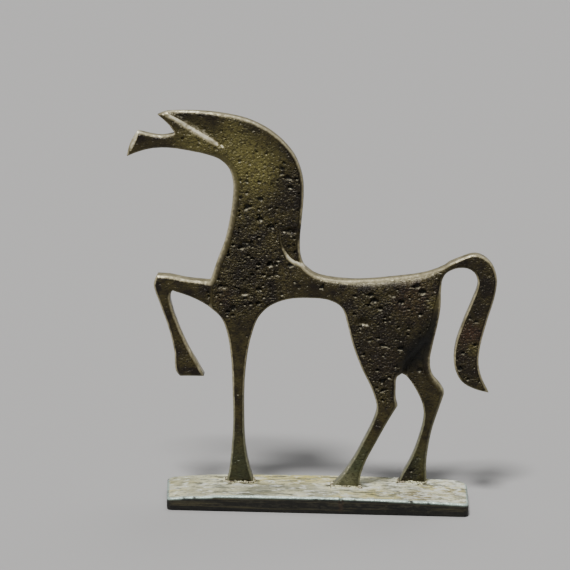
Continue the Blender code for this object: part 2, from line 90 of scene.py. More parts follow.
# How bright a rim is worn and painted with highlight, first its bevel, then the thin line along the bevel's outer
# edge and last the casting's narrow side, by where it faces: brightest facing up and bright facing front, as painted
# highlight, and dim facing down, as painted shade;
# and the share of a direction from which a rim counts as facing there
UP_RIM_WEAR_AND_HIGHLIGHT = (0.60, 1.00, 0.55)
FRONT_RIM_WEAR_AND_HIGHLIGHT = (0.38, 0.85, 0.24)
OTHER_RIM_WEAR_AND_HIGHLIGHT = (0.18, 0.62, 0.18)
UNDER_RIM_WEAR_AND_HIGHLIGHT = (0.04, 0.30, 0.05)
RIM_FACES = (0.10, 0.60)
NARROW_SIDES = (0.50, 0.20)
# The gaps from the outline between which the bright line of worn metal and painted highlight ends, and a broad bevel
# fades
EDGE_GAPS = (0.4, 1.2)
BAND_FADES = (0.6, 3.6)
BAND_FADE = 0.95
# Above these heights the bevel has less wear and less painted highlight, by this share
CREST_HEIGHTS = (150.0, 176.0)
CREST_DULL = 0.58
RIM_FRAY = 1.1
OUTLINE_CELL = 0.5
ARRIS_SMOOTHING = 3

# The back's broad bevel is rounded: its line, how far the rounding reaches, and how often it is evened
CROUP_LINE = ((2.0, 114.5), (20.0, 113.6), (33.9, 115.0), (48.0, 117.0), (55.0, 119.0))
CROUP_REACH = (5.5, 9.0)
CROUP_ROUNDING = 110
CROUP_GRAIN = 0.55

# Casting relief of the horse's flat sides: the cells of each kind of pit, how deep, and how many cells have one
PIT_CELLS = (5.0, 3.0, 1.9)
PIT_DEPTHS = (1.20, 1.00, 0.65)
PIT_CHANCES = (0.50, 0.52, 0.48)
GRAIN_CELL = 1.0
GRAIN_DEPTH = 0.26
SWELL_CELL = 9.0
SWELL_DEPTH = 0.22
PIT_FLATNESS = 1.3
WARP_CELL = 1.3
WARP_REACH = 0.6
FAR_SIDE_SHARE = 0.7

# How rough the flat sides are: x, z, reach and roughness, blended between the places
ROUGH_PLACES = (
    (-76.0, 180.0, 12.0, 0.20),
    (-62.0, 188.0, 10.0, 0.45),
    (-34.0, 176.0, 14.0, 0.45),
    (-33.0, 160.0, 12.0, 0.62),
    (-15.0, 160.0, 10.0, 0.85),
    (-30.0, 140.0, 12.0, 0.95),
    (-34.0, 122.0, 14.0, 1.15),
    (-42.0, 106.0, 10.0, 1.10),
    (-15.0, 122.0, 9.0, 0.70),
    (-2.0, 109.0, 10.0, 0.30),
    (30.0, 106.0, 13.0, 1.00),
    (48.0, 106.0, 10.0, 0.95),
    (30.0, 88.0, 13.0, 1.05),
    (31.0, 66.0, 9.0, 0.95),
    (50.0, 78.0, 8.0, 0.35),
    (57.0, 56.0, 8.0, 0.45),
    (-75.0, 105.0, 14.0, 0.30),
    (-70.0, 76.0, 12.0, 0.35),
    (-40.0, 60.0, 22.0, 0.26),
    (-39.0, 22.0, 14.0, 0.28),
    (20.0, 26.0, 16.0, 0.28),
    (50.0, 30.0, 14.0, 0.26),
    (44.0, 14.0, 7.0, 0.75),
    (78.0, 110.0, 14.0, 0.60),
    (73.0, 72.0, 14.0, 0.75),
)

# Single gouges of the near side: x, z, half length, half height, turn in degrees, depth
GOUGES = (
    (-36.6, 149.3, 2.3, 1.6, 25.0, 1.0),
    (-17.2, 163.8, 2.7, 1.2, -10.0, 0.8),
    (-13.0, 171.5, 1.6, 1.0, 20.0, 0.6),
    (-32.5, 176.5, 0.9, 0.7, 0.0, 0.6),
    (-27.6, 175.6, 0.9, 0.7, 0.0, 0.6),
    (-43.2, 99.0, 1.8, 1.2, -15.0, 0.8),
    (-37.2, 130.4, 4.2, 2.4, 10.0, 0.7),
    (-22.7, 115.8, 2.1, 1.1, 20.0, 0.7),
    (0.5, 110.0, 1.1, 1.7, -40.0, 0.9),
    (26.3, 103.7, 2.8, 1.5, 10.0, 0.9),
    (31.3, 81.2, 2.8, 1.0, -10.0, 0.9),
    (21.8, 76.5, 1.0, 1.1, 0.0, 0.9),
    (31.5, 63.3, 2.1, 1.4, 30.0, 0.9),
    (46.8, 111.5, 3.0, 1.2, 12.0, 0.8),
    (56.6, 118.4, 2.4, 0.8, -6.0, 1.0),
    (-68.8, 182.4, 1.2, 0.8, 40.0, 0.7),
    (-65.1, 186.4, 0.8, 0.6, 0.0, 0.6),
    (32.1, 58.6, 2.4, 0.9, 20.0, 0.9),
)
# The largest hollows of the solid itself: x, z and half width, where no rim is worn bright or given painted highlight
DEEP_HOLLOWS = ((-15.6, 137.5, 7.0), (21.5, 92.9, 6.0), (35.2, 107.4, 5.0), (-37.3, 106.4, 5.0), (-48.4, 109.2, 5.0))

# Painted highlight streaks where ledges inside the outline face the light: points of x, z and half width, and
# strength
HIGHLIGHT_STREAKS = (
    (((-78.6, 194.8, 0.9), (-72.2, 191.6, 1.0), (-64.0, 186.9, 1.1), (-55.2, 182.0, 1.1), (-51.9, 179.8, 0.7)), 1.45),
    (((-21.1, 140.0, 0.2), (-20.0, 131.4, 0.4), (-18.5, 127.4, 0.8)), 0.30),
    (((-19.2, 128.8, 0.4), (-16.5, 124.5, 0.8), (-14.0, 122.4, 0.9), (-9.3, 120.4, 0.9), (-5.0, 118.8, 1.0)), 1.25),
    (((-90.9, 185.6, 1.3), (-92.5, 181.4, 1.6), (-94.6, 176.6, 1.3)), 1.15),
)
# A streak's upper edge is crisp and its lower one soft: where each ends, as shares of the half width
HIGHLIGHT_STREAK_UPPER = (0.55, 0.85)
HIGHLIGHT_STREAK_LOWER = (-0.20, 2.00)
GOUGE_LOBES = 3
GOUGE_WAVE = 0.22
GOUGE_WALL = 1.5
GOUGE_CALM = 0.2
HOLLOW_CALM = 0.35

# Relief and marks of the slab
TOP_GRAIN_CELL = 1.2
TOP_GRAIN_DEPTH = 0.24
TOP_PIT_CELLS = (5.5, 3.0, 1.8)
TOP_PIT_DEPTHS = (0.36, 0.34, 0.24)
TOP_PIT_CHANCES = (0.35, 0.45, 0.50)
SLAB_SWELL_CELL = 16.0
SLAB_SWELL_DEPTH = 0.35
ROUGH_END_X = 48.0
ROUGH_END_REACH = 26.0
ROUGH_END_GAIN = 0.7
EDGE_NICK_X = 12.1
EDGE_NICK_HALF_WIDTH = 0.9
EDGE_NICK_DEPTH = 0.9
EDGE_STEP_X = -50.6
EDGE_STEP_DEPTH = 0.35
EDGE_STEP_REACH = 24.0

# Weld seams round the three soles
SOLE_BAND = 1.2
SEAM_RADIUS = 0.65
SEAM_STEP = 1.1
BEAD_RADIUS = 0.85
BEAD_VARIATION = 0.55
BEAD_CHANCE = 0.62
SEAM_SEED = 11
SEAM_WAVE = 0.60
SEAM_WAVE_CELL = 1.4
# Crumbs of weld metal on the slab: x, y and length, and how high they lie
CRUMBS = ((6.8, -3.7, 1.2), (21.8, -2.4, 0.8), (40.4, 9.6, 1.0), (51.4, 7.0, 1.4), (-31.0, -3.0, 0.7))
CRUMB_HEIGHT = 8.2
# Dark specks and grime lie round the soles: the gaps from their outlines between which they end
GRIME_REACH = (1.0, 9.0)

# Fine grain that only the shading shows: its ground, and small hollows as cell, mouth and depth
FINE_CELL = 1.25
FINE_DETAIL = 1.5
FINE_HEIGHT = 1.40
FINE_HOLLOWS = ((1.8, 0.34, 0.30), (1.1, 0.36, 0.16))

# Lips that face upwards are painted light, as painted highlight on partly rubbed metal, and the fine grain is painted
# light where it slopes up and dark where it slopes down, as painted highlight and shade: the tilt in the relief, and
# how the fine grain's slopes are read
LIP_TILT = (0.38, 0.74)
LIP_STRENGTH = 1.0
SLOPE_STEP = 0.35
HIGHLIGHT_SLOPES = (0.40, 1.10)
SHADED_SLOPES = (-0.10, -0.60)
CLUSTER_CELL = 5.0

# Colours of the bronze, as linear red, green and blue
OLIVE = (0.062, 0.050, 0.018)
YELLOW_OLIVE = (0.180, 0.158, 0.048)
# Painted highlight, partly rubbed metal, on grain slopes that face up
GRAIN_HIGHLIGHT_AND_WEAR = (0.140, 0.118, 0.045)
# Painted highlight, partly rubbed metal, on lips that face up
LIP_HIGHLIGHT_AND_WEAR = (0.370, 0.335, 0.230)
DARK_BROWN = (0.018, 0.013, 0.008)
RED_BROWN = (0.060, 0.032, 0.018)
GREEN = (0.075, 0.086, 0.042)
# Black, used as painted shade in the pits and gouges, on grain slopes that face down and along the near thigh's step,
# and in some dark patches
PIT_BLACK = (0.004, 0.004, 0.003)
# Worn rim metal, laid on with painted highlight where the rims face the light
WORN_RIM_AND_HIGHLIGHT = (0.500, 0.440, 0.270)
# Near-white painted highlight on the brightest worn rims and highlight streaks
WORN_RIM_HIGHLIGHT = (0.920, 0.860, 0.640)
RIM_SHADE = (0.110, 0.095, 0.050)
RIM_GREEN = (0.230, 0.235, 0.155)
RIM_GREENS = (75.0, 30.0)
# Pale colour of the slab's top, partly its pale patina and partly painted light from above; also the pale weld metal
SLAB_PALE = (0.850, 0.820, 0.550)
# White painted highlights on the slab's top
SLAB_HIGHLIGHT = (0.950, 0.960, 0.830)
SLAB_YELLOW = (0.680, 0.590, 0.180)
SLAB_GREY = (0.165, 0.170, 0.125)
SLAB_OLIVE = (0.210, 0.205, 0.120)
SLAB_BROWN = (0.250, 0.175, 0.090)
SLAB_SHADE = (0.055, 0.052, 0.030)
# The slab's near-black sides, partly their dark patina and partly painted shade
SLAB_DARK = (0.009, 0.008, 0.005)
SLAB_BLACK = (0.004, 0.004, 0.003)
SLAB_STREAK = (0.058, 0.050, 0.024)
SLAB_SCUFF = (0.045, 0.041, 0.025)
RUST = (0.046, 0.028, 0.016)
EDGE_TURQUOISE = (0.600, 0.740, 0.650)
SEAM_BROWN = (0.420, 0.350, 0.230)

# Patches of colour on the slab's top: x, y, reach, colour, strength
PLINTH_TOP = 8.4
TOP_PATCHES = (
    (-70.0, 8.0, 22.0, SLAB_OLIVE, 0.45),
    (-58.0, -12.0, 14.0, SLAB_OLIVE, 0.45),
    (-30.0, 11.0, 20.0, SLAB_YELLOW, 0.95),
    (-8.0, 12.0, 18.0, SLAB_YELLOW, 0.85),
    (8.0, 8.0, 12.0, SLAB_YELLOW, 0.55),
    (-28.0, -9.0, 18.0, SLAB_GREY, 0.85),
    (-8.0, -4.0, 14.0, SLAB_OLIVE, 0.70),
    (2.0, -14.0, 12.0, SLAB_GREY, 0.60),
    (38.0, 2.0, 8.0, SLAB_GREY, 0.50),
    (30.0, -10.0, 12.0, SLAB_YELLOW, 0.50),
    (50.0, -11.0, 13.0, SLAB_BROWN, 0.70),
    (68.0, -2.0, 12.0, SLAB_BROWN, 0.40),
)

# Patches of colour on the horse, a few of them painted shade and shadow: x, z, reach, colour, strength
PATCHES = (
    (-34.0, 168.0, 21.0, YELLOW_OLIVE, 0.95),
    (-44.0, 178.0, 18.0, YELLOW_OLIVE, 0.65),
    (-62.0, 181.0, 14.0, YELLOW_OLIVE, 0.65),
    (-34.0, 146.0, 14.0, YELLOW_OLIVE, 0.25),
    (-37.0, 134.0, 12.0, DARK_BROWN, 0.35),
    (-60.0, 190.0, 10.0, DARK_BROWN, 0.45),
    (-84.0, 179.0, 14.0, DARK_BROWN, 0.60),
    (-13.0, 160.0, 14.0, DARK_BROWN, 0.80),
    (-45.0, 188.0, 9.0, YELLOW_OLIVE, 0.35),
    (-37.0, 120.0, 15.0, DARK_BROWN, 0.60),
    (-2.0, 107.0, 14.0, DARK_BROWN, 0.60),
    (-48.0, 104.0, 8.0, RED_BROWN, 0.35),
    (46.0, 104.0, 16.0, RED_BROWN, 0.50),
    (31.0, 74.0, 13.0, RED_BROWN, 0.40),
    (74.0, 82.0, 18.0, RED_BROWN, 0.35),
    (28.0, 82.0, 30.0, DARK_BROWN, 0.65),
    (32.0, 70.0, 14.0, DARK_BROWN, 0.55),
    (76.0, 110.0, 24.0, DARK_BROWN, 0.50),
    (73.0, 74.0, 24.0, DARK_BROWN, 0.55),
    (52.0, 64.0, 12.0, DARK_BROWN, 0.50),
    (53.0, 99.0, 9.0, DARK_BROWN, 0.60),
    # Painted shade: darker on the back's broad bevel, where it faces the key light
    (16.0, 116.0, 10.0, DARK_BROWN, 0.70),
    (34.0, 116.0, 11.0, DARK_BROWN, 0.70),
    (55.8, 103.0, 6.0, YELLOW_OLIVE, 0.45),
    (74.0, 87.0, 9.0, RED_BROWN, 0.80),
    (76.0, 80.0, 5.0, YELLOW_OLIVE, 0.50),
    (72.5, 97.0, 6.0, PIT_BLACK, 0.60),
    (-24.0, 150.0, 8.0, DARK_BROWN, 0.45),
    (-40.0, 112.0, 9.0, DARK_BROWN, 0.30),
    # Painted shadow: black along the near thigh's rear step, over the far leg
    (56.0, 90.0, 9.0, PIT_BLACK, 1.00),
    (52.0, 83.0, 9.0, PIT_BLACK, 1.20),
    (47.0, 77.0, 10.0, PIT_BLACK, 1.20),
    (43.0, 71.0, 7.0, PIT_BLACK, 0.90),
    (16.0, 20.0, 22.0, GREEN, 0.80),
    (12.5, 11.0, 11.0, SLAB_OLIVE, 0.60),
    (-39.5, 20.0, 22.0, GREEN, 0.50),
    (50.0, 18.0, 16.0, GREEN, 0.40),
    (43.0, 15.0, 9.0, PIT_BLACK, 0.80),
)

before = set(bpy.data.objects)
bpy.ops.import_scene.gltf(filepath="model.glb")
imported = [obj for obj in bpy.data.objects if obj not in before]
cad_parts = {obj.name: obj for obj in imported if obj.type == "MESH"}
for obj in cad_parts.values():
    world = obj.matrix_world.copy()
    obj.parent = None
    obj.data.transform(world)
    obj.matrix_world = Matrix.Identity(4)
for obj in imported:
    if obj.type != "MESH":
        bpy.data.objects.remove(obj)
cad_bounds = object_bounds()


def soft_step(value, start, end):
    """Zero before start, one after end, and a smooth change between them."""
    share = np.clip((value - start) / (end - start), 0, 1)
    return share * share * (3 - 2 * share)


def positions(mesh):
    """The mesh's vertices in millimetres."""
    flat = np.empty(len(mesh.vertices) * 3, np.float32)
    mesh.vertices.foreach_get("co", flat)
    return flat.reshape(-1, 3).astype(float) / MM


def set_positions(mesh, points):
    """Moves the mesh's vertices to places in millimetres."""
    mesh.vertices.foreach_set("co", (points * MM).astype(np.float32).ravel())
    mesh.update()


def normals(mesh):
    """The mesh's unit normals at its vertices."""
    flat = np.empty(len(mesh.vertices) * 3, np.float32)
    mesh.vertex_normals.foreach_get("vector", flat)
    return flat.reshape(-1, 3).astype(float)


def write_attribute(mesh, name, values):
    """Stores one number for each vertex under a name."""
    attribute = mesh.attributes.get(name) or mesh.attributes.new(name, "FLOAT", "POINT")
    attribute.data.foreach_set("value", values.astype(np.float32))


def spread(mesh, values, passes):
    """Values at the vertices, each averaged with its neighbours a few times."""
    ends = np.empty(len(mesh.edges) * 2, np.int32)
    mesh.edges.foreach_get("vertices", ends)
    ends = ends.reshape(-1, 2)
    count = len(mesh.vertices)
    degree = np.bincount(ends.ravel(), minlength=count) + 1
    for _ in range(passes):
        total = np.bincount(ends[:, 0], weights=values[ends[:, 1]], minlength=count)
        total += np.bincount(ends[:, 1], weights=values[ends[:, 0]], minlength=count)
        values = (total + values) / degree
    return values


def gap_to_outline(points):
    """How far each point is from the horse's outline, as seen from the side."""
    flat = points[:, (0, 2)]
    low = flat.min(axis=0) - 2 * OUTLINE_CELL
    spots = ((flat - low) / OUTLINE_CELL).astype(int)
    filled = np.zeros(spots.max(axis=0) + 3, bool)
    filled[spots[:, 0], spots[:, 1]] = True
    inner = filled.copy()
    for axis in (0, 1):
        inner &= np.roll(filled, 1, axis) & np.roll(filled, -1, axis)
    edge = np.argwhere(filled & ~inner)
    tree = KDTree(len(edge))
    for index, (i, j) in enumerate(edge):
        tree.insert((i, j, 0.0), index)
    tree.balance()
    gaps = np.zeros(filled.shape)
    for i, j in np.argwhere(filled):
        gaps[i, j] = tree.find((i, j, 0.0))[2] * OUTLINE_CELL
    return gaps[spots[:, 0], spots[:, 1]]


def gap_to_line(points, line):
    """How far each point is from a line of x, z and half width, as seen from the side, with a minus sign
    on the line's right, and the width there.
    """
    nearest = np.full(len(points), np.inf)
    signed = np.zeros(len(points))
    width = np.zeros(len(points))
    for start, end in zip(line, line[1:]):
        way = np.array(end[:2]) - np.array(start[:2])
        off = points[:, (0, 2)] - np.array(start[:2])
        share = np.clip(off @ way / (way @ way), 0, 1)
        gap = np.linalg.norm(off - share[:, None] * way, axis=1)
        closer = gap < nearest
        nearest = np.where(closer, gap, nearest)
        signed = np.where(closer, np.copysign(gap, way[0] * off[:, 1] - way[1] * off[:, 0]), signed)
        width = np.where(closer, start[-1] + share * (end[-1] - start[-1]), width)
    return signed, width


def new_object(name, mesh):
    """An object at the origin that shows a mesh."""
    obj = bpy.data.objects.new(name, mesh)
    bpy.context.scene.collection.objects.link(obj)
    return obj


def evaluated_copy(obj, name):
    """A plain mesh object of what an object's modifiers make, which takes the object's place."""
    bpy.context.view_layer.update()
    evaluated = obj.evaluated_get(bpy.context.evaluated_depsgraph_get())
    mesh = bpy.data.meshes.new_from_object(evaluated)
    mesh.name = name
    bpy.data.objects.remove(obj, do_unlink=True)
    return new_object(name, mesh)


def joined_copy(node):
    """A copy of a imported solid's mesh, with its loose triangles joined."""
    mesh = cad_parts[node].data.copy()
    bm = bmesh.new()
    bm.from_mesh(mesh)
    bmesh.ops.remove_doubles(bm, verts=bm.verts, dist=JOIN_DISTANCE * MM)
    bm.to_mesh(mesh)
    bm.free()
    mesh.materials.clear()
    return new_object(node + "_source", mesh)


def fine_skin(node, cell):
    """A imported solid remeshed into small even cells, with its arrises just softened."""
    obj = joined_copy(node)
    remesh = obj.modifiers.new("even cells", "REMESH")
    remesh.mode = "VOXEL"
    remesh.voxel_size = cell * MM
    smooth = obj.modifiers.new("soft arrises", "SMOOTH")
    smooth.iterations = ARRIS_SMOOTHING
    return evaluated_copy(obj, node + "_skin")


def thinned(obj, triangles, name, looser=None):
    """The object with its triangles brought down to a number, flat places and the looser vertices first."""
    mesh = obj.data
    count = sum(len(polygon.vertices) - 2 for polygon in mesh.polygons)
    if count > triangles:
        decimate = obj.modifiers.new("fewer triangles", "DECIMATE")
        decimate.ratio = triangles / count
        if looser is not None:
            group = obj.vertex_groups.new(name="looser")
            group.add(np.flatnonzero(looser).tolist(), 1.0, "REPLACE")
            group.add(np.flatnonzero(~looser).tolist(), 0.5, "REPLACE")
            decimate.vertex_group = group.name
            decimate.vertex_group_factor = NEAR_SIDE_FAVOUR
    obj = evaluated_copy(obj, name)
    obj.vertex_groups.clear()
    obj.data.shade_smooth()
    return obj


def put(tree, kind, inputs=None, **settings):
    """Adds a node with its settings, and gives its inputs their values or links."""
    node = tree.nodes.new(kind)
    for name, value in settings.items():
        setattr(node, name, value)
    for key, value in (inputs or {}).items():
        if isinstance(value, bpy.types.NodeSocket):
            tree.links.new(value, node.inputs[key])
        else:
            node.inputs[key].default_value = value
    return node


def worked(tree, operation, *values):
    """A number worked out from others."""
    return put(tree, "ShaderNodeMath", dict(enumerate(values)), operation=operation).outputs[0]


def vector_worked(tree, operation, first, second):
    """A vector worked out from two others."""
    node = put(tree, "ShaderNodeVectorMath", {0: first, 1: second}, operation=operation)
    return node.outputs["Vector"]


def eased(tree, value, start, end):
    """Zero at start, one at end, and a smooth change between them, also where end is the lower one."""
    inputs = {"Value": value, "From Min": start, "From Max": end}
    return put(tree, "ShaderNodeMapRange", inputs, interpolation_type="SMOOTHSTEP").outputs["Result"]


def tree_with_sizes(name, sizes):
    """A geometry tree with a named input for each size, and its input and output nodes."""
    tree = bpy.data.node_groups.new(name, "GeometryNodeTree")
    tree.interface.new_socket("Geometry", in_out="INPUT", socket_type="NodeSocketGeometry")
    tree.interface.new_socket("Geometry", in_out="OUTPUT", socket_type="NodeSocketGeometry")
    for size, value in sizes.items():
        socket = tree.interface.new_socket(size, in_out="INPUT", socket_type="NodeSocketFloat")
        socket.default_value = value
    return tree, put(tree, "NodeGroupInput"), put(tree, "NodeGroupOutput")


def run_tree(obj, tree, sizes, name):
    """The plain mesh object that a geometry tree makes of an object, with these sizes."""
    modifier = obj.modifiers.new(tree.name, "NODES")
    modifier.node_group = tree
    for item in tree.interface.items_tree:
        if item.in_out == "INPUT" and item.name in sizes:
            modifier[item.identifier] = float(sizes[item.name])
    return evaluated_copy(obj, name)


def end_tree(tree, geometry, material, output):
    """Ends a geometry tree: instances made real, and the material set."""
    real = put(tree, "GeometryNodeRealizeInstances", {"Geometry": geometry}).outputs["Geometry"]
    named = put(tree, "GeometryNodeSetMaterial", {"Geometry": real, "Material": material})
    tree.links.new(named.outputs["Geometry"], output.inputs["Geometry"])


RELIEF_SIZES = {"Pit cell 1": 4.0, "Pit cell 2": 2.0, "Pit cell 3": 1.0, "Pit depth 1": 0.6, "Pit depth 2": 0.4,
                "Pit depth 3": 0.2, "Pit chance 1": 0.4, "Pit chance 2": 0.6, "Pit chance 3": 0.9,
                "Grain cell": 0.8, "Grain depth": 0.15, "Swell cell": 9.0, "Swell depth": 0.2,
                "Flatness": 1.4, "Warp cell": 1.5, "Warp reach": 0.5, "Seed": 0.0}


# A pit's mouth and floor, as shares of its cell
PIT_MOUTH = 1.0
LARGEST_MOUTH = 0.5
PIT_FLOOR_SHARE = 0.4


def relief_tree(material):
    """Pits, grain and swell sunk into a surface, as far as its attribute skin lets them, in millimetres."""
    tree, given, output = tree_with_sizes("casting relief", RELIEF_SIZES)
    size = {socket.name: socket for socket in given.outputs}
    place = put(tree, "GeometryNodeInputPosition").outputs["Position"]
    place = vector_worked(tree, "DIVIDE", place, (MM, MM, MM))
    place = vector_worked(tree, "ADD", place, put(tree, "ShaderNodeCombineXYZ", {
        "X": size["Seed"], "Y": size["Seed"], "Z": size["Seed"]}).outputs[0])

    flat = put(tree, "ShaderNodeCombineXYZ", {"X": 1.0, "Y": 1.0, "Z": size["Flatness"]}).outputs[0]
    place = vector_worked(tree, "MULTIPLY", place, flat)

    def noise(cell, detail):
        scale = worked(tree, "DIVIDE", 1.0, cell)
        return put(tree, "ShaderNodeTexNoise", {"Vector": place, "Scale": scale, "Detail": detail})

    warp = vector_worked(tree, "SUBTRACT", noise(size["Warp cell"], 2.0).outputs["Color"], (0.5, 0.5, 0.5))
    warp = put(tree, "ShaderNodeVectorMath", {0: warp, "Scale": size["Warp reach"]}, operation="SCALE")
    bent = vector_worked(tree, "ADD", place, warp.outputs["Vector"])

    depth = 0.0
    for i in (1, 2, 3):
        scale = worked(tree, "DIVIDE", 1.0, size["Pit cell %d" % i])
        cells = put(tree, "ShaderNodeTexVoronoi", {"Vector": bent, "Scale": scale})
        luck = put(tree, "ShaderNodeSeparateXYZ", {0: cells.outputs["Color"]}).outputs["X"]
        none = worked(tree, "SUBTRACT", 1.0, size["Pit chance %d" % i])
        mouth = worked(tree, "MULTIPLY", worked(tree, "SUBTRACT", luck, none), PIT_MOUTH)
        mouth = worked(tree, "MINIMUM", mouth, LARGEST_MOUTH)
        floor = worked(tree, "MULTIPLY", mouth, PIT_FLOOR_SHARE)
        pit = eased(tree, cells.outputs["Distance"], mouth, floor)
        open_pit = worked(tree, "GREATER_THAN", mouth, 0.03)
        pit = worked(tree, "MULTIPLY", worked(tree, "MULTIPLY", pit, open_pit), size["Pit depth %d" % i])
        depth = worked(tree, "ADD", depth, pit)
    grain = worked(tree, "SUBTRACT", noise(size["Grain cell"], 3.0).outputs[0], 0.5)
    grain = worked(tree, "MULTIPLY", worked(tree, "MULTIPLY", grain, 2.0), size["Grain depth"])
    swell = worked(tree, "SUBTRACT", noise(size["Swell cell"], 1.0).outputs[0], 0.35)
    swell = worked(tree, "MULTIPLY", worked(tree, "MAXIMUM", swell, 0.0), size["Swell depth"])
    depth = worked(tree, "ADD", depth, worked(tree, "ADD", grain, swell))
    skin = put(tree, "GeometryNodeInputNamedAttribute", {"Name": "skin"}, data_type="FLOAT").outputs[0]
    depth = worked(tree, "MULTIPLY", depth, skin)

    inward = worked(tree, "MULTIPLY", depth, -MM)
    normal = put(tree, "GeometryNodeInputNormal").outputs["Normal"]
    offset = put(tree, "ShaderNodeVectorMath", {0: normal, "Scale": inward}, operation="SCALE")
    kept = put(tree, "GeometryNodeStoreNamedAttribute", {
        "Geometry": size["Geometry"], "Name": "sunk", "Value": depth}, data_type="FLOAT", domain="POINT")
    moved = put(tree, "GeometryNodeSetPosition", {
        "Geometry": kept.outputs["Geometry"], "Offset": offset.outputs["Vector"]})
    end_tree(tree, moved.outputs["Geometry"], material, output)
    return tree


def gouge_depths(points):
    """How deep the single gouges of the near side are at each point."""
    depth = np.zeros(len(points))
    for x, z, half_length, half_height, turn, deepest in GOUGES:
        cosine = math.cos(math.radians(turn))
        sine = math.sin(math.radians(turn))
        across = ((points[:, 0] - x) * cosine + (points[:, 2] - z) * sine) / half_length
        up = ((points[:, 2] - z) * cosine - (points[:, 0] - x) * sine) / half_height
        rim = 1 + GOUGE_WAVE * np.cos(GOUGE_LOBES * np.arctan2(up, across) + x)
        bowl = 1 - (across * across + up * up) / rim ** 2
        depth = np.maximum(depth, deepest * np.clip(GOUGE_WALL * bowl, 0, 1))
    return depth


def roughness_at(points):
    """How rough the casting skin is at each point, blended between the named places."""
    total = np.zeros(len(points))
    weights = np.zeros(len(points))
    for x, z, reach, value in ROUGH_PLACES:
        square = ((points[:, 0] - x) ** 2 + (points[:, 2] - z) ** 2) / reach ** 2
        weight = 1 / (1 + square) ** 3
        total += weight * value
        weights += weight
    return total / weights


def rounded_croup(mesh, points):
    """The points, with the broad bevel along the back's top rounded over."""
    gap, _ = gap_to_line(points, CROUP_LINE)
    amount = 1 - soft_step(np.abs(gap), *CROUP_REACH)
    even = np.stack([spread(mesh, points[:, axis], CROUP_ROUNDING) for axis in range(3)], axis=1)
    return points + amount[:, None] * (even - points)


def rim_wear_and_highlight(facing, part):
    """How bright rims are worn and painted with highlight by where they face: 0 the bevel, 1 the line along its edge,
    2 the narrow side.
    """
    wear = np.full(len(facing), OTHER_RIM_WEAR_AND_HIGHLIGHT[part])
    for share, target in ((-facing[:, 0], FRONT_RIM_WEAR_AND_HIGHLIGHT), (facing[:, 2], UP_RIM_WEAR_AND_HIGHLIGHT), (-facing[:, 2], UNDER_RIM_WEAR_AND_HIGHLIGHT)):
        wear += (target[part] - wear) * soft_step(share, *RIM_FACES)
    return wear


def worn_and_highlighted_places(mesh, points, facing):
    """How far each point is off the flat faces, how far on a rim, and how bright the metal is worn and painted with
    highlight.
    """
    flatness = spread(mesh, np.abs(facing[:, 1]), RIM_SOFTENING)
    tilted = 1 - soft_step(flatness, RIM_STARTS, FACE_STARTS)
    gap = spread(mesh, gap_to_outline(points), RIM_SOFTENING)
    bevel = tilted * (1 - soft_step(gap, *RIM_REACH))
    for x, z, half_width in DEEP_HOLLOWS:
        outside = soft_step(np.hypot(points[:, 0] - x, points[:, 2] - z) / half_width, 0.7, 1.0)
        bevel *= outside
        tilted *= HOLLOW_CALM + (1 - HOLLOW_CALM) * outside
    line = 1 - soft_step(gap, *EDGE_GAPS)
    inner = rim_wear_and_highlight(facing, 0) * (1 - CREST_DULL * soft_step(points[:, 2], *CREST_HEIGHTS))
    worn = inner + (rim_wear_and_highlight(facing, 1) - inner) * line
    worn += (rim_wear_and_highlight(facing, 2) - worn) * soft_step(-flatness, -NARROW_SIDES[0], -NARROW_SIDES[1])
    worn *= bevel * (1 - BAND_FADE * soft_step(gap, *BAND_FADES))
    on_croup = 1 - soft_step(np.abs(gap_to_line(points, CROUP_LINE)[0]), *CROUP_REACH)
    tilted *= 1 - CROUP_GRAIN * on_croup * soft_step(gap, *EDGE_GAPS)
    # Streaks of painted highlight along the ledges inside the outline
    for line, strength in HIGHLIGHT_STREAKS:
        gap, width = gap_to_line(points, line)
        upper = 1 - soft_step(gap / width, *HIGHLIGHT_STREAK_UPPER)
        lower = 1 - soft_step(-gap / width, *HIGHLIGHT_STREAK_LOWER)
        worn = np.maximum(worn, strength * upper * lower)
    return tilted, bevel, worn


